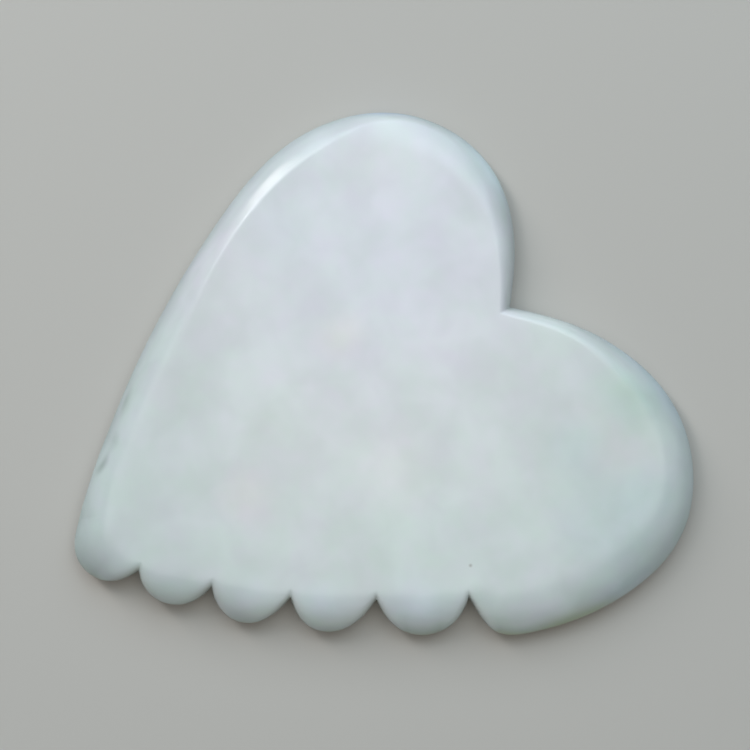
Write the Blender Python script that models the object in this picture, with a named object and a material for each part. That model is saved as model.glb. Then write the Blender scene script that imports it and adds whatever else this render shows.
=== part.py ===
"""Heart-shaped gua sha board with a scalloped comb edge, ground from one white jade slab.

Frame: +Z up through the thickness, +Y along the heart's axis from its tip to its cleft,
+X towards the comb side. The origin is under the middle of the board, on the face that
it rests on. Lengths are in metres, except in the sketch, which is drawn in millimetres.
"""

import math

import bmesh
import bpy
import numpy as np
from mathutils import Vector
from mathutils.geometry import interpolate_bezier

MM = 0.001

# Driving dimensions.
LENGTH = 80.2 * MM  # from the heart's tip to the top of its larger lobe
THICKNESS = 6.0 * MM
RIM_SPACING = 1.3  # sketch millimetres between two points of the rim
TOOTH_STEPS = 12  # straight edges round one tooth
ROLL_ANGLES = (18, 36, 54, 72, 90)  # degrees from the rim to the flat face's edge

# Where the flat face cuts the rim's rounding short it leaves an arris. Its softness is
# a part of the half thickness: crisp where it meets the flat face directly, and wider
# where the shoulder beside it is more sloped.
ARRIS_SOFTNESS = 0.04
SHOULDER_SOFTNESS = 0.6

# The rounding's section is height = (1 - reach**EASE)**FULLNESS, with a reach of 0 at the
# flat face's edge and 1 at the rim. A higher ease leaves the flat face more gently, and a
# lower fullness gives a blunter rim. Along the comb the rounding is COMB_WIDTH wide,
# measured to the teeth's tips. The notches are cut into it afterwards, with upright walls
# whose edges are softened over the last part of the reach, a short part if WALL is high.
EASE = 2.6
FULLNESS = 0.8
COMB_WIDTH = 7.2
WALL = 6

# The sketch: millimetres from the bottom of the cleft, clockwise as seen from above.
# A station is a point of the rim, then the point of the flat face's edge across from
# it, then the crown and the shoulder of the rounding between them. A crown of 1 rolls
# smoothly on to the flat face; a higher one is cut off by it in an arris. The shoulder
# is how far the flat side of that arris slopes down at the rim.
LARGE_LOBE = [
    ((0.0, 0.1), (0.0, -2.0), 1.0, 0.0),
    ((7.4, 7.2), (8.7, 5.2), 1.0, 0.0),
    ((12.4, 10.2), (13.7, 6.7), 1.0, 0.0),
    ((22.5, 12.7), (22.6, 7.3), 1.0, 0.0),
    ((38.9, 3.8), (32.0, 0.4), 1.0, 0.0),
    ((41.3, -4.3), (33.0, -5.8), 1.0, 0.0),
    ((39.6, -19.0), (31.6, -17.0), 1.0, 0.0),
    ((37.5, -23.0), (30.7, -20.6), 1.0, 0.0),
]
NOTCHES = [
    ((31.1, -24.25), (28.8, -23.4), 1.0, 0.0),
    ((25.15, -35.25), (22.9, -33.95), 1.0, 0.0),
    ((19.15, -45.1), (17.0, -43.5), 1.0, 0.0),
    ((12.55, -53.6), (10.6, -51.75), 1.0, 0.0),
    ((5.75, -61.0), (4.1, -58.8), 1.0, 0.0),
]
TIP_AND_BACK = [
    ((5.6, -63.6), (2.6, -59.6), 1.0, 0.0),
    ((3.5, -66.7), (0.4, -59.5), 1.0, 0.0),
    ((-0.3, -67.4), (-0.9, -59.7), 1.0, 0.0),
    ((-4.2, -64.7), (-2.6, -59.0), 1.0, 0.0),
    ((-12.1, -55.9), (-8.1, -53.6), 1.0, 0.0),
    ((-23.1, -40.5), (-18.9, -38.0), 1.0, 0.0),
    ((-30.1, -27.5), (-24.9, -25.1), 1.13, 0.0),
    ((-33.7, -17.3), (-27.9, -16.1), 1.1, 0.03),
    ((-33.4, -6.6), (-28.1, -7.9), 1.21, 0.12),
    ((-27.0, 3.5), (-24.3, -1.0), 1.45, 0.35),
    ((-17.1, 7.4), (-17.2, 2.5), 1.0, 0.5),
    ((-8.0, 5.4), (-9.3, 2.2), 1.0, 0.0),
    ((0.0, 0.1), (0.0, -2.0), 1.0, 0.0),
]
# Each tooth is one Bezier curve from notch to notch: the heading at which it leaves the
# first and the handle's length there, then the heading at which it reaches the second
# and the handle's length there. Headings are degrees from the line between the two.
TEETH = [
    ((73.7, 5.85), (-68.0, 8.25)),
    ((58.5, 7.2), (-74.7, 6.1)),
    ((57.1, 9.2), (-78.8, 3.15)),
    ((61.2, 6.3), (-74.4, 3.9)),
]


def natural_spline(knots, values):
    """Return a function that gives the natural cubic spline through the values."""
    knots = np.asarray(knots, float)
    values = np.asarray(values, float)
    steps = np.diff(knots)
    slopes = np.diff(values, axis=0) / steps[:, None]
    system = np.eye(len(knots))
    bends = np.zeros_like(values)
    for i in range(1, len(knots) - 1):
        before, after = steps[i - 1], steps[i]
        system[i, i - 1:i + 2] = before, 2 * (before + after), after
        bends[i] = 6 * (slopes[i] - slopes[i - 1])
    bends = np.linalg.solve(system, bends)

    def at(place):
        i = min(int(np.searchsorted(knots, place, side="right")), len(steps)) - 1
        after = (place - knots[i]) / steps[i]
        before = 1 - after
        straight = before * values[i] + after * values[i + 1]
        curved = (before**3 - before) * bends[i] + (after**3 - after) * bends[i + 1]
        return straight + curved * steps[i] ** 2 / 6

    return at


def heading(degrees):
    """Return the unit vector at an angle from the sketch's X axis."""
    return Vector((math.cos(math.radians(degrees)), math.sin(math.radians(degrees))))


def tooth_curve(start, end, handles):
    """Return the points of one tooth from notch to notch, without the last one."""
    start, end = Vector(start), Vector(end)
    base = math.degrees(math.atan2(end.y - start.y, end.x - start.x))
    (leaving, first_length), (arriving, second_length) = handles
    first = start + heading(base + leaving) * first_length
    second = end - heading(base + arriving) * second_length
    curve = interpolate_bezier(start, first, second, end, TOOTH_STEPS + 1)
    return [np.array(point) for point in curve[:-1]]


def outline():
    """Return the rim's points, each with its flat edge point, crown, shoulder and cut.

    The cut is 1 where the rim is whole, and less where a notch takes the rounding's outer
    part away.
    """
    stations = LARGE_LOBE + NOTCHES + TIP_AND_BACK
    rims = np.array([station[0] for station in stations])
    rests = np.array([(*flat, crown, shoulder) for _, flat, crown, shoulder in stations])
    chords = np.linalg.norm(np.diff(rims, axis=0), axis=1)
    knots = np.concatenate(([0.0], np.cumsum(chords)))
    first = len(LARGE_LOBE)
    last = first + len(NOTCHES) - 1
    widths = np.linalg.norm(rims - rests[:, :2], axis=1)
    widths[first:last + 2] = COMB_WIDTH
    rest_at = natural_spline(knots, rests)
    lobe_at = natural_spline(knots[:first + 1], rims[:first + 1])
    back_at = natural_spline(knots[last:], rims[last:])

    points = []
    for i, chord in enumerate(chords):
        if first <= i < last:
            rim = tooth_curve(rims[i], rims[i + 1], TEETH[i - first])
            places = np.linspace(knots[i], knots[i + 1], TOOTH_STEPS, endpoint=False)
        else:
            count = math.ceil(chord / RIM_SPACING)
            places = np.linspace(knots[i], knots[i + 1], count, endpoint=False)
            rim_at = lobe_at if i < first else back_at
            rim = [rim_at(place) for place in places]
        for rim_point, place in zip(rim, places):
            rest = rest_at(place)
            width = np.interp(place, knots, widths)
            cut = min(np.linalg.norm(rim_point - rest[:2]) / width, 1.0)
            points.append((rim_point, (*rest, cut)))
    return points


def rolled_edge(points, angle):
    """Return the sketch points and heights of one ring of the rounding.

    An angle of 0 is the rim, and 90 is the flat face's edge. Heights are parts of the
    half thickness.
    """
    reach = math.cos(math.radians(angle))
    ring = []
    for rim, (flat_x, flat_y, crown, shoulder, cut) in points:
        flat = np.array((flat_x, flat_y))
        place = flat + (rim - flat) * reach
        roll = max(crown, 1.0) * (1 - (cut * reach) ** EASE) ** FULLNESS
        roll *= (1 - reach**WALL) ** (1 - cut)
        slope = 1.0 - max(shoulder, 0.0) * reach**2
        softness = (ARRIS_SOFTNESS + SHOULDER_SOFTNESS * shoulder**2) * reach
        overlap = max(softness - abs(roll - slope), 0.0)
        height = min(roll, slope)
        if overlap:
            height -= overlap**2 / (4 * softness)
        ring.append((*place, height))
    return ring


def board_mesh():
    """Return the board: rings extruded from the lower flat face's edge to the upper's."""
    points = outline()
    rims = np.array([rim for rim, _ in points])
    low, high = rims.min(axis=0), rims.max(axis=0)
    centre = (low + high) / 2
    scale = LENGTH / (high[1] - low[1])
    half = THICKNESS / 2
    lower = [(rolled_edge(points, angle), -1) for angle in reversed(ROLL_ANGLES)]
    upper = [(rolled_edge(points, angle), 1) for angle in (0, *ROLL_ANGLES)]

    mesh = bmesh.new()
    spoke = mesh.verts.layers.int.new("spoke")
    corners = bmesh.ops.create_circle(mesh, segments=len(points), radius=1.0)["verts"]
    for number, corner in enumerate(corners):
        corner[spoke] = number
    edges = mesh.edges[:]
    for level, (ring, side) in enumerate(lower + upper):
        if level:
            grown = bmesh.ops.extrude_edge_only(mesh, edges=edges)["geom"]
            corners = [item for item in grown if isinstance(item, bmesh.types.BMVert)]
            edges = [item for item in grown if isinstance(item, bmesh.types.BMEdge)]
        for corner in corners:
            x, y, height = ring[corner[spoke]]
            corner.co.x = (x - centre[0]) * scale
            corner.co.y = (y - centre[1]) * scale
            corner.co.z = half + side * half * height
    bmesh.ops.holes_fill(mesh, edges=mesh.edges)
    bmesh.ops.recalc_face_normals(mesh, faces=mesh.faces)
    return mesh


def white_jade():
    """Return the stone's material: milky white, faintly green, waxy from polishing."""
    material = bpy.data.materials.new("white_jade")
    material.use_nodes = True
    surface = material.node_tree.nodes["Principled BSDF"]
    surface.inputs["Base Color"].default_value = (0.68, 0.73, 0.75, 1.0)
    surface.inputs["Roughness"].default_value = 0.25
    surface.inputs["Metallic"].default_value = 0.0
    return material


def make_board():
    """Add the board to the scene as one object."""
    mesh = board_mesh()
    data = bpy.data.meshes.new("jade_board")
    mesh.to_mesh(data)
    mesh.free()
    data.shade_smooth()
    data.set_sharp_from_angle(angle=math.radians(40))
    data.materials.append(white_jade())
    board = bpy.data.objects.new("jade_board", data)
    bpy.context.scene.collection.objects.link(board)


for old in list(bpy.data.objects):
    bpy.data.objects.remove(old)
make_board()
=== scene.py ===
"""The looks of a heart-shaped gua sha board in polished white jade, lying on a pale table."""

import math

import bmesh
import bpy
import numpy as np
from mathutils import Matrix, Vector
from mathutils.geometry import interpolate_bezier


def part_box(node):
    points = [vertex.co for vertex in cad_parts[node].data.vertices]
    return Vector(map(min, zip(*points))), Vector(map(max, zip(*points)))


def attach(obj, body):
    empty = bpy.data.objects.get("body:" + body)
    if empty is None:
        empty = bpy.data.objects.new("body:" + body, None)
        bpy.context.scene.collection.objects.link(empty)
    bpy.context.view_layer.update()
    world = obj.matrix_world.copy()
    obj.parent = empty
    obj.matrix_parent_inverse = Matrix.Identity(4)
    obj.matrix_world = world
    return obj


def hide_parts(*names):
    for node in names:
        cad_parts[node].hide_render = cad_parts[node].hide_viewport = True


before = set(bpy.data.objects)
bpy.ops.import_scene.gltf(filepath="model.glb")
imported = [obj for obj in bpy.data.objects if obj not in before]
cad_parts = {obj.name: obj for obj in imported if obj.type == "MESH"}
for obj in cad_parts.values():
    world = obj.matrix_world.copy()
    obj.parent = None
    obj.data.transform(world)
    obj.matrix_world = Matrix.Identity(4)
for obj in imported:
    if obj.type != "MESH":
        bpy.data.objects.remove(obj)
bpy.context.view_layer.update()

MM = 0.001
BOARD_NODE = "jade_board"
BOARD_LOW, BOARD_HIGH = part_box(BOARD_NODE)
SECTION_STEPS = 160  # fine steps along each stretch of the sketch before it is spaced out
RIM_POINTS = 1300
ROLL_STEP = 3  # degrees between two rings of the rounding
ROOT_PASSES = 1  # how often the rim's sharp corners, the notches' roots, are eased
ROOT_EASE = 0.5  # how far a pass moves a point towards the middle of its neighbours

# Where the flat face cuts the rim's rounding short it leaves an arris. Its softness is
# a part of the half thickness: crisp where it meets the flat face directly, and wider
# where the shoulder beside it is more sloped.
ARRIS_SOFTNESS = 0.04
SHOULDER_SOFTNESS = 0.6

# The rounding's section is height = (1 - reach**EASE)**FULLNESS, with a reach of 0 at the
# flat face's edge and 1 at the rim. A higher ease leaves the flat face more gently, and a
# lower fullness gives a blunter rim. Along the comb the rounding is COMB_WIDTH wide,
# measured to the teeth's tips. The notches are cut into it afterwards, with upright walls
# whose edges are softened over the last part of the reach, a short part if WALL is high.
EASE = 2.6
FULLNESS = 0.8
COMB_WIDTH = 7.2
WALL = 6

# The sketch: millimetres from the bottom of the cleft, clockwise as seen from above.
# A station is a point of the rim, then the point of the flat face's edge across from
# it, then the crown and the shoulder of the rounding between them. A crown of 1 rolls
# smoothly on to the flat face; a higher one is cut off by it in an arris. The shoulder
# is how far the flat side of that arris slopes down at the rim.
#
# The rim's points and the teeth below are the rounded output of a least-squares curve fit
# made by another script. Only the notches and some handle lengths were moved afterwards.
LARGE_LOBE = [
    ((0.0, 0.1), (0.0, -2.0), 1.0, 0.0),
    ((7.4, 7.2), (8.7, 5.2), 1.0, 0.0),
    ((12.4, 10.2), (13.7, 6.7), 1.0, 0.0),
    ((22.5, 12.7), (22.6, 7.3), 1.0, 0.0),
    ((38.9, 3.8), (32.0, 0.4), 1.0, 0.0),
    ((41.3, -4.3), (33.0, -5.8), 1.0, 0.0),
    ((39.6, -19.0), (31.6, -17.0), 1.0, 0.0),
    ((37.5, -23.0), (30.7, -20.6), 1.0, 0.0),
]
NOTCHES = [
    ((31.1, -24.25), (28.8, -23.4), 1.0, 0.0),
    ((25.15, -35.25), (22.9, -33.95), 1.0, 0.0),
    ((19.15, -45.1), (17.0, -43.5), 1.0, 0.0),
    ((12.55, -53.6), (10.6, -51.75), 1.0, 0.0),
    ((5.75, -61.0), (4.1, -58.8), 1.0, 0.0),
]
TIP_AND_BACK = [
    ((5.6, -63.6), (2.6, -59.6), 1.0, 0.0),
    ((3.5, -66.7), (0.4, -59.5), 1.0, 0.0),
    ((-0.3, -67.4), (-0.9, -59.7), 1.0, 0.0),
    ((-4.2, -64.7), (-2.6, -59.0), 1.0, 0.0),
    ((-12.1, -55.9), (-8.1, -53.6), 1.0, 0.0),
    ((-23.1, -40.5), (-18.9, -38.0), 1.0, 0.0),
    ((-30.1, -27.5), (-24.9, -25.1), 1.13, 0.0),
    ((-33.7, -17.3), (-27.9, -16.1), 1.1, 0.03),
    ((-33.4, -6.6), (-28.1, -7.9), 1.21, 0.12),
    ((-27.0, 3.5), (-24.3, -1.0), 1.45, 0.35),
    ((-17.1, 7.4), (-17.2, 2.5), 1.0, 0.5),
    ((-8.0, 5.4), (-9.3, 2.2), 1.0, 0.0),
    ((0.0, 0.1), (0.0, -2.0), 1.0, 0.0),
]
# Each tooth is one Bezier curve from notch to notch: the heading at which it leaves the
# first and the handle's length there, then the heading at which it reaches the second
# and the handle's length there. Headings are degrees from the line between the two.
TEETH = [
    ((73.7, 5.85), (-68.0, 8.25)),
    ((58.5, 7.2), (-74.7, 6.1)),
    ((57.1, 9.2), (-78.8, 3.15)),
    ((61.2, 6.3), (-74.4, 3.9)),
]

# The stone's pattern, with painted light and painted shade on some of the rims. Its layers
# are drawn this many millimetres apart between the two faces, so that they differ. Clouds
# are laid on the ground colour in this order: the middle's x and y in millimetres, its depth
# (0 at the underside, 1 at the upper face), its radius, its colour, and how strong it is at the
# middle.
LAYER_DEPTH = 18.0
DRIFT = 5.0
DRIFT_SIZE = 9.0
GROUND = (0.645, 0.698, 0.685)
CLOUDS_AND_PAINTED_LIGHT = [
    (-2, 6, 1.0, 46, (0.775, 0.78, 0.78), 1.0),  # milky middle
    (-20, 16, 1.0, 32, (0.77, 0.77, 0.81), 1.0),  # lavender back lobe
    (16, 4, 1.0, 24, (0.70, 0.765, 0.735), 0.6),  # grey green above the comb
    (-30, -6, 1.0, 16, (0.735, 0.72, 0.75), 0.7),  # warmer along the back
    (18, 31, 1.0, 10, (0.70, 0.70, 0.695), 0.6),
    (-30, 22, 1.0, 9, (0.79, 0.795, 0.81), 0.6),
    (-28, 6, 1.0, 8, (0.70, 0.715, 0.75), 0.6),
    (15, 36, 1.0, 8, (0.57, 0.685, 0.63), 0.8),  # green patch at the comb lobe's rim
    (13.6, 36.4, 1.0, 3.5, (0.55, 0.64, 0.58), 0.5),
    (17.6, 25.5, 1.0, 6, (0.64, 0.745, 0.725), 0.55),
    (28, 25, 1.0, 10, (0.57, 0.685, 0.69), 0.7),
    (27, 24, 1.0, 8, (0.635, 0.685, 0.66), 0.5),
    (0.4, -15.3, 1.0, 6, (0.81, 0.76, 0.775), 0.6),  # a blush
    (-12, 6, 1.0, 5, (0.84, 0.805, 0.805), 0.7),
    (-3.6, 17, 1.0, 6, (0.81, 0.805, 0.835), 0.6),
    (7, 3, 1.0, 9, (0.82, 0.79, 0.805), 0.6),
    (13, 12, 1.0, 8, (0.785, 0.795, 0.80), 0.6),
    (-5.7, -8.7, 1.0, 4, (0.70, 0.735, 0.705), 0.5),
    (-16.6, -17.6, 1.0, 6, (0.67, 0.685, 0.685), 0.5),
    (26, -3.5, 1.0, 8, (0.775, 0.82, 0.885), 0.6),  # bluish middles of the teeth
    (19.5, -14, 1.0, 5.5, (0.77, 0.82, 0.87), 0.6),
    (13.2, -23, 1.0, 5, (0.76, 0.79, 0.84), 0.5),
    (7, -31, 1.0, 5, (0.61, 0.66, 0.66), 0.6),
    (1, -37, 1.0, 8, (0.61, 0.65, 0.66), 0.6),
    (27.4, 31.5, 1.0, 6, (0.60, 0.685, 0.69), 0.5),
    (-22, 35, 0.55, 9, (0.88, 0.97, 1.0), 0.9),  # painted light: cooler, mostly lighter upper rims of both lobes
    # painted shade with a cool cast at the back lobe's outer rim
    (-36, 27, 0.4, 9, (0.46, 0.56, 0.75), 0.95),
    (17, 40, 0.5, 9, (0.66, 0.75, 0.82), 0.6),
    (9, 39, 0.55, 6, (0.80, 0.88, 0.93), 0.7),
    (36, 22, 0.6, 8, (0.72, 0.79, 0.83), 0.7),
    (32.4, 11.5, 0.8, 7, (0.84, 0.87, 0.88), 0.75),  # milky above the lowest edge
    # painted shade beside the deepest notch's root
    (27.8, 4.4, 1.0, 3, (0.53, 0.59, 0.57), 0.5),
    (38, 14, 0.4, 9, (0.57, 0.63, 0.40), 0.95),  # painted shade: warm, darker edges of the comb side, turned from the light
    (35, 5, 0.4, 6, (0.58, 0.64, 0.42), 0.95),
    (28.6, -5, 0.4, 5, (0.59, 0.65, 0.48), 0.8),
    (22.2, -15.4, 0.4, 5, (0.59, 0.65, 0.48), 0.8),
    (15.7, -24.1, 0.4, 5, (0.59, 0.65, 0.46), 0.8),
    (8.5, -31.7, 0.4, 5, (0.59, 0.65, 0.46), 0.8),
    (1.2, -38, 0.4, 5, (0.55, 0.61, 0.50), 0.8),
    (-18.2, -23.6, 0.8, 3.0, (0.45, 0.51, 0.47), 0.7),  # dull spots along the back
    (-14.4, -27.8, 0.8, 2.4, (0.45, 0.51, 0.48), 0.6),
    (-13.1, -30.6, 0.8, 2.2, (0.42, 0.48, 0.45), 0.7),
]
SPECKS = [
    (23.6, 5.5, 1.0, 0.36, (0.38, 0.37, 0.34), 0.7),
]
# Painted shade: the colour is darkened and tinted towards the rim, strongest at its edge.
RIM_SHADE_TINT = (0.76, 0.80, 0.81)

# Finer changes in the stone: each one's size is in millimetres.
SHADE_SIZE = 7.0
SHADES = (0.95, 1.05)
HUE_SIZE = 4.0
GREENER = (0.982, 1.01, 0.982)
PINKER = (1.018, 0.99, 1.018)
GLOSS_SIZE = 8.0
ROUGHNESS = (0.20, 0.265)
WAVE_SIZE = 7.0
WAVE_HEIGHT = 0.03 * MM
JADE_IOR = 1.61
SCATTER_DEPTH = 1.5 * MM

# The studio. A softbox is its name, its azimuth and tilt in degrees, its distance, its
# width and height in metres, its power in watts and its colour.
SOFTBOXES = [
    ("panel", 147, 41, 0.8, (1.2, 0.8), 4.6, (0.66, 0.87, 1.0)),
    ("top_light", 154, 8, 0.8, (0.8, 0.8), 2.75, (0.98, 0.98, 0.95)),
    ("window", 192, 53, 0.6, (0.09, 0.45), 1.1, (1.0, 0.95, 0.93)),
    ("low_fill", 338, 78, 0.8, (0.6, 0.25), 0.22, (0.95, 1.0, 0.7)),
]
ROOM_COLOUR = (1.0, 0.96, 0.9)
ROOM_LIGHT = 0.04  # how strongly the room lights the board
WALL_LIGHT = 0.5  # how bright its wall looks past the table
TABLE_COLOUR = (0.54, 0.51, 0.475)
TABLE_ROUGHNESS = 0.8
TABLE_HALF_WIDTH = 3.0
LENS = 100.0
VIEW_WIDTH = 101.35 * MM
VIEW_MIDDLE = (-4.84 * MM, 7.17 * MM)
VIEW_TURN = 60  # degrees


# ---------------------------------------------------------------- the board's outline


def natural_spline(knots, values, places):
    """Return the natural cubic spline through the values, read at the places."""
    steps = np.diff(knots)
    slopes = np.diff(values, axis=0) / steps[:, None]
    system = np.eye(len(knots))
    bends = np.zeros_like(values)
    for i in range(1, len(knots) - 1):
        before, after = steps[i - 1], steps[i]
        system[i, i - 1:i + 2] = before, 2 * (before + after), after
        bends[i] = 6 * (slopes[i] - slopes[i - 1])
    bends = np.linalg.solve(system, bends)
    i = np.clip(np.searchsorted(knots, places, side="right") - 1, 0, len(steps) - 1)
    after = ((places - knots[i]) / steps[i])[:, None]
    before = 1 - after
    straight = before * values[i] + after * values[i + 1]
    curved = (before**3 - before) * bends[i] + (after**3 - after) * bends[i + 1]
    return straight + curved * steps[i][:, None] ** 2 / 6


def heading(degrees):
    """Return the unit vector at an angle from the sketch's X axis."""
    return Vector((math.cos(math.radians(degrees)), math.sin(math.radians(degrees))))


def tooth_curve(start, end, handles):
    """Return the points of one tooth from notch to notch, without the last one."""
    start, end = Vector(start), Vector(end)
    base = math.degrees(math.atan2(end.y - start.y, end.x - start.x))
    (leaving, first_length), (arriving, second_length) = handles
    first = start + heading(base + leaving) * first_length
    second = end - heading(base + arriving) * second_length
    return np.array(interpolate_bezier(start, first, second, end, SECTION_STEPS + 1)[:-1])


def outline():
    """Return evenly spaced rim points, flat edge points, crowns, shoulders and widths."""
    stations = LARGE_LOBE + NOTCHES + TIP_AND_BACK
    rims = np.array([station[0] for station in stations])
    rests = np.array([(*flat, crown, shoulder) for _, flat, crown, shoulder in stations])
    chords = np.linalg.norm(np.diff(rims, axis=0), axis=1)
    knots = np.concatenate(([0.0], np.cumsum(chords)))
    stretches = zip(knots[:-1], knots[1:])
    places = np.concatenate([np.linspace(start, end, SECTION_STEPS, endpoint=False)
                             for start, end in stretches])
    first = len(LARGE_LOBE)
    last = first + len(NOTCHES) - 1
    widths = np.linalg.norm(rims - rests[:, :2], axis=1)
    widths[first:last + 2] = COMB_WIDTH
    lobe_places = places[:first * SECTION_STEPS]
    back_places = places[last * SECTION_STEPS:]
    teeth = [tooth_curve(rims[first + i], rims[first + i + 1], handles)
             for i, handles in enumerate(TEETH)]
    rim = np.concatenate((
        natural_spline(knots[:first + 1], rims[:first + 1], lobe_places),
        *teeth,
        natural_spline(knots[last:], rims[last:], back_places)))
    rests = natural_spline(knots, rests, places)
    rows = np.column_stack((rim, rests, np.interp(places, knots, widths)))
    closed = np.vstack((rows, rows[:1]))
    lengths = np.linalg.norm(np.diff(closed[:, :2], axis=0), axis=1)
    walked = np.concatenate(([0.0], np.cumsum(lengths)))
    even = np.linspace(0.0, walked[-1], RIM_POINTS, endpoint=False)
    return np.column_stack([np.interp(even, walked, column) for column in closed.T])


# ---------------------------------------------------------------- the board's mesh


def rolled_height(crown, shoulder, cut, angle):
    """Return how high the rounding stands, in half thicknesses, at an angle of its roll.

    An angle of 0 is the rim, and 90 is the flat face's edge. The cut is 1 where the rim
    is whole, and less where a notch takes the rounding's outer part away.
    """
    reach = math.cos(math.radians(angle))
    crown = np.maximum(crown, 1.0)
    roll = crown * (1 - (cut * reach) ** EASE) ** FULLNESS * (1 - reach**WALL) ** (1 - cut)
    slope = 1.0 - np.maximum(shoulder, 0.0) * reach**2
    softness = (ARRIS_SOFTNESS + SHOULDER_SOFTNESS * shoulder**2) * reach
    overlap = np.maximum(softness - np.abs(roll - slope), 0.0)
    return np.minimum(roll, slope) - overlap**2 / np.maximum(4 * softness, 1e-9)


def board_mesh():
    """Return the board, extruded ring by ring from the lower flat face to the upper."""
    rows = outline()
    rim, flat = rows[:, :2], rows[:, 2:4]
    crown, shoulder, width = rows[:, 4:].T
    mesh = bmesh.new()
    spoke = mesh.verts.layers.int.new("spoke")
    corners = bmesh.ops.create_circle(mesh, segments=RIM_POINTS, radius=1.0)["verts"]
    for number, corner in enumerate(corners):
        corner[spoke] = number
        corner.co = (*rim[number], 0.0)
    for _ in range(ROOT_PASSES):
        bmesh.ops.smooth_vert(
            mesh, verts=corners, factor=ROOT_EASE, use_axis_x=True, use_axis_y=True)
    rim = np.array([corner.co[:2] for corner in corners])
    cut = np.minimum(np.linalg.norm(rim - flat, axis=1) / width, 1.0)

    low, high = rim.min(axis=0), rim.max(axis=0)
    middle = (BOARD_LOW + BOARD_HIGH) / 2
    scale = (np.array(BOARD_HIGH[:2]) - np.array(BOARD_LOW[:2])) / (high - low)
    centre = np.array(middle[:2]) - (low + high) / 2 * scale
    half = (BOARD_HIGH.z - BOARD_LOW.z) / 2
    lower = [(angle, -1) for angle in range(90, 0, -ROLL_STEP)]
    upper = [(angle, 1) for angle in range(0, 91, ROLL_STEP)]
    edges = mesh.edges[:]
    for level, (angle, side) in enumerate(lower + upper):
        if level:
            grown = bmesh.ops.extrude_edge_only(mesh, edges=edges)["geom"]
            corners = [item for item in grown if isinstance(item, bmesh.types.BMVert)]
            edges = [item for item in grown if isinstance(item, bmesh.types.BMEdge)]
        ring = (flat + (rim - flat) * math.cos(math.radians(angle))) * scale + centre
        height = middle.z + side * half * rolled_height(crown, shoulder, cut, angle)
        for corner in corners:
            number = corner[spoke]
            corner.co = (*ring[number], height[number])
    mesh.verts.layers.int.remove(spoke)
    bmesh.ops.holes_fill(mesh, edges=mesh.edges)
    bmesh.ops.recalc_face_normals(mesh, faces=mesh.faces)
    return mesh


def make_board():
    """Add the finished board, which stands for the CAD one."""
    mesh = board_mesh()
    data = bpy.data.meshes.new("polished_board")
    mesh.to_mesh(data)
    mesh.free()
    data.shade_smooth()
    data.materials.append(white_jade())
    board = bpy.data.objects.new("polished_board", data)
    bpy.context.scene.collection.objects.link(board)
    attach(board, "root")
    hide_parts(BOARD_NODE)


# ---------------------------------------------------------------- materials


def add_node(tree, kind, inputs, **settings):
    """Add a shader node, and set or link its inputs. Return the node."""
    node = tree.nodes.new("ShaderNode" + kind)
    for name, setting in settings.items():
        setattr(node, name, setting)
    for key, value in inputs.items():
        if isinstance(value, bpy.types.NodeSocket):
            tree.links.new(value, node.inputs[key])
        else:
            node.inputs[key].default_value = value
    return node


def mixed(tree, share, first, second, blend="MIX"):
    """Return a colour mixed from two, by a share from 0 to 1."""
    inputs = {0: share, 6: first, 7: second}
    return add_node(tree, "Mix", inputs, data_type="RGBA", blend_type=blend).outputs[2]


def noise(tree, place, size, detail=3.0):
    """Return a noise node whose features are about the given size in millimetres."""
    return add_node(tree, "TexNoise", {"Vector": place, "Scale": 1 / size, "Detail": detail})


def ranged(tree, value, start, end, low, high):
    """Return a value eased from low to high while another goes from start to end."""
    inputs = {"Value": value, "From Min": start, "From Max": end, "To Min": low, "To Max": high}
    return add_node(tree, "MapRange", inputs, interpolation_type="SMOOTHSTEP").outputs[0]


def stone_place(tree):
    """Return the place in the stone, in millimetres, with its layers drawn apart."""
    inside = add_node(tree, "TexCoord", {}).outputs["Object"]
    scale = (1 / MM, 1 / MM, LAYER_DEPTH / (BOARD_HIGH.z - BOARD_LOW.z))
    return add_node(tree, "Mapping", {"Vector": inside, "Scale": scale}).outputs[0]


def drifted(tree, place):
    """Return the place pushed about a little, which frays the clouds' edges."""
    push = noise(tree, place, DRIFT_SIZE, detail=2.0).outputs["Color"]
    inputs = {0: push, 1: (0.5, 0.5, 0.5)}
    push = add_node(tree, "VectorMath", inputs, operation="SUBTRACT").outputs[0]
    inputs = {0: push, 1: (DRIFT, DRIFT, DRIFT), 2: place}
    return add_node(tree, "VectorMath", inputs, operation="MULTIPLY_ADD").outputs[0]


def clouded(tree, place, colour, clouds):
    """Return the colour with each cloud laid over it, strongest at the cloud's middle."""
    for x, y, depth, radius, tint, strength in clouds:
        inputs = {0: place, 1: (x, y, depth * LAYER_DEPTH)}
        away = add_node(tree, "VectorMath", inputs, operation="DISTANCE").outputs["Value"]
        share = ranged(tree, away, radius, 0.0, 0.0, strength)
        colour = mixed(tree, share, colour, (*tint, 1.0))
    return colour


def height_on_rim(tree):
    """Return 0 at the rim and 1 on both flat faces: how thick the stone is there."""
    inside = add_node(tree, "TexCoord", {}).outputs["Object"]
    upright = add_node(tree, "SeparateXYZ", {0: inside}).outputs["Z"]
    half = (BOARD_HIGH.z - BOARD_LOW.z) / 2
    inputs = {0: upright, 1: BOARD_LOW.z + half}
    above = add_node(tree, "Math", inputs, operation="SUBTRACT").outputs[0]
    away = add_node(tree, "Math", {0: above}, operation="ABSOLUTE").outputs[0]
    return add_node(tree, "Math", {0: away, 1: half}, operation="DIVIDE").outputs[0]


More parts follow.
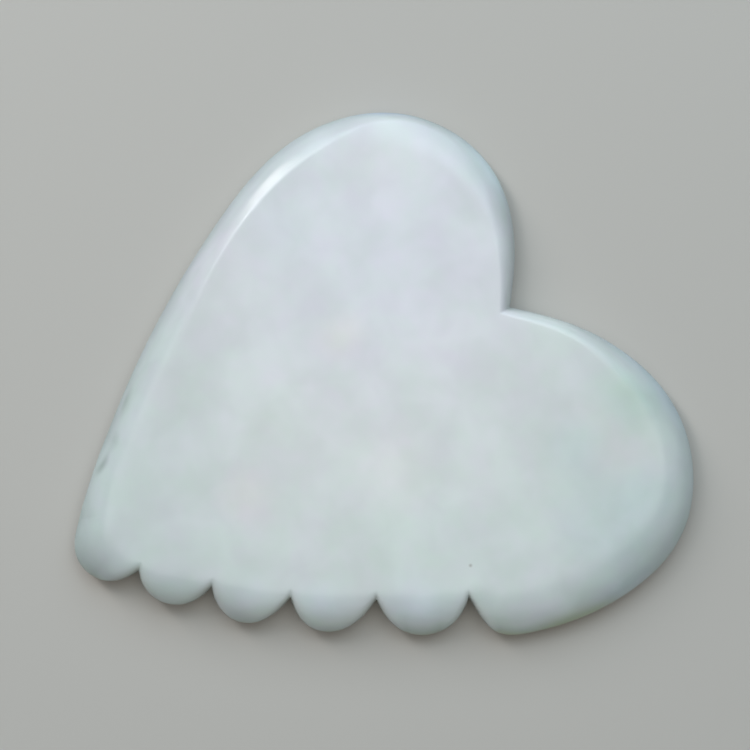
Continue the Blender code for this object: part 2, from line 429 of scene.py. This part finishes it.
def white_jade():
    """Return the stone: milky white, clouded with lavender and green, waxy from polishing, with
    painted shade towards the rim and painted light on some rims.
    """
    material = bpy.data.materials.new("white_jade")
    material.use_nodes = True
    tree = material.node_tree
    surface = tree.nodes["Principled BSDF"]
    surface.inputs["IOR"].default_value = JADE_IOR
    surface.inputs["Subsurface Weight"].default_value = 1.0
    surface.inputs["Subsurface Radius"].default_value = (1.0, 1.0, 1.0)
    surface.inputs["Subsurface Scale"].default_value = SCATTER_DEPTH

    place = stone_place(tree)
    frayed = drifted(tree, place)
    # The clouds hold the stone's mottling, and also painted light and painted shade on the rims.
    colour = clouded(tree, frayed, (*GROUND, 1.0), CLOUDS_AND_PAINTED_LIGHT)
    shade = noise(tree, frayed, SHADE_SIZE, detail=2.0).outputs[0]
    shade = ranged(tree, shade, 0.2, 0.8, *SHADES)
    grey = add_node(tree, "CombineColor", {0: shade, 1: shade, 2: shade}).outputs[0]
    colour = mixed(tree, 1.0, colour, grey, "MULTIPLY")
    hue = ranged(tree, noise(tree, place, HUE_SIZE, detail=2.0).outputs[0], 0.2, 0.8, 0.0, 1.0)
    tinge = mixed(tree, hue, (*GREENER, 1.0), (*PINKER, 1.0))
    colour = mixed(tree, 1.0, colour, tinge, "MULTIPLY")
    colour = clouded(tree, place, colour, SPECKS)
    # Painted shade: darker towards the rim, where the rounded edge turns from the light.
    rim_shade = ranged(tree, height_on_rim(tree), 1.0, 0.0, 0.0, 1.0)
    shaded_colour = mixed(tree, 1.0, colour, (*RIM_SHADE_TINT, 1.0), "MULTIPLY")
    colour = mixed(tree, rim_shade, colour, shaded_colour)
    tree.links.new(colour, surface.inputs["Base Color"])

    gloss = ranged(tree, noise(tree, place, GLOSS_SIZE).outputs[0], 0.3, 0.7, *ROUGHNESS)
    tree.links.new(gloss, surface.inputs["Roughness"])
    wave = noise(tree, place, WAVE_SIZE, detail=2.0).outputs[0]
    bump = add_node(tree, "Bump", {"Height": wave, "Distance": WAVE_HEIGHT})
    tree.links.new(bump.outputs[0], surface.inputs["Normal"])
    return material


def table_top():
    """Return the table's material: a plain, matt, pale grey."""
    material = bpy.data.materials.new("pale_table")
    material.use_nodes = True
    surface = material.node_tree.nodes["Principled BSDF"]
    surface.inputs["Base Color"].default_value = (*TABLE_COLOUR, 1.0)
    surface.inputs["Roughness"].default_value = TABLE_ROUGHNESS
    return material


# ---------------------------------------------------------------- the studio


def make_floor():
    """Add the table that the board lies on."""
    mesh = bmesh.new()
    bmesh.ops.create_grid(mesh, x_segments=1, y_segments=1, size=TABLE_HALF_WIDTH)
    data = bpy.data.meshes.new("table")
    mesh.to_mesh(data)
    mesh.free()
    data.materials.append(table_top())
    floor = bpy.data.objects.new("table", data)
    bpy.context.scene.collection.objects.link(floor)


def softbox(name, azimuth, tilt, distance, size, power, colour):
    """Add a rectangular area light that faces the board's middle.

    The azimuth is counterclockwise from +X and the tilt is from straight overhead. The
    size is the light's width and its height.
    """
    data = bpy.data.lights.new(name, "AREA")
    data.shape = "RECTANGLE"
    data.size, data.size_y = size
    data.energy = power
    data.color = colour
    light = bpy.data.objects.new(name, data)
    turn = math.radians(azimuth)
    lean = math.radians(tilt)
    away = Vector((math.sin(lean) * math.cos(turn), math.sin(lean) * math.sin(turn), math.cos(lean)))
    light.location = away * distance
    light.rotation_euler = away.to_track_quat("Z", "Y").to_euler()
    bpy.context.scene.collection.objects.link(light)


def make_lights():
    """Add a cool panel beyond the back, a soft top light, a narrow window and a low fill."""
    for name, azimuth, tilt, distance, size, power, colour in SOFTBOXES:
        softbox(name, azimuth, tilt, distance, size, power, colour)


def make_room():
    """Add the dim room round the studio, whose far wall looks pale past the table."""
    world = bpy.data.worlds.new("studio")
    world.use_nodes = True
    tree = world.node_tree
    background = tree.nodes["Background"]
    background.inputs["Color"].default_value = (*ROOM_COLOUR, 1.0)
    seen = add_node(tree, "LightPath", {}).outputs["Is Camera Ray"]
    inputs = {"Value": seen, "To Min": ROOM_LIGHT, "To Max": WALL_LIGHT}
    strength = add_node(tree, "MapRange", inputs)
    tree.links.new(strength.outputs[0], background.inputs["Strength"])
    bpy.context.scene.world = world


def make_camera():
    """Add the camera, straight above, with the heart's axis pointing up to the right."""
    data = bpy.data.cameras.new("camera")
    data.lens = LENS
    camera = bpy.data.objects.new("camera", data)
    rise = VIEW_WIDTH * LENS / data.sensor_width
    camera.location = (*VIEW_MIDDLE, BOARD_HIGH.z / 2 + rise)
    camera.rotation_euler = (0.0, 0.0, math.radians(VIEW_TURN))
    bpy.context.scene.collection.objects.link(camera)
    bpy.context.scene.camera = camera


bpy.context.scene.view_settings.view_transform = "Standard"
make_camera()
make_floor()
make_lights()
make_room()
make_board()
